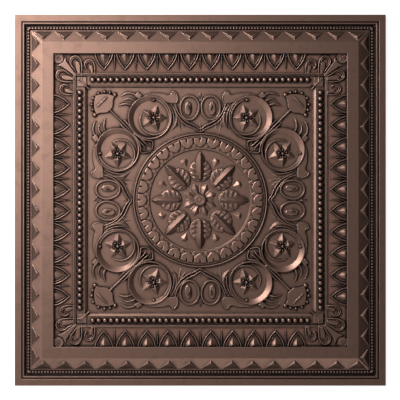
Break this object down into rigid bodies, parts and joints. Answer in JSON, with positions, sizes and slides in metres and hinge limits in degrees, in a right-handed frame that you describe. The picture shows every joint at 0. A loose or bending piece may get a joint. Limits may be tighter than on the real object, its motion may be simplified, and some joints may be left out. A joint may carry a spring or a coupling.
{
  "type": "pvc ceiling tile",
  "caption": "Square drop-in ceiling tile formed from one thin PVC sheet, with toothed, egg-and-dart and beaded borders round a scrollwork field and rosette.",
  "frame": {"origin": "centre of the tile's outline, on the plane that its back lies on when it rests face up", "axes": "+Z out of the decorated face, X and Y parallel to the tile's straight sides; the picture's upper side is +Y"},
  "size_m": [0.603, 0.603, 0.0095],
  "materials": {
    "antique_copper_pvc": "satin antique copper film on thermoformed PVC, with dark brown patina in the recesses"
  },
  "bodies": {
    "root": {"ceiling_tile": "antique_copper_pvc"}
  },
  "joints": []
}
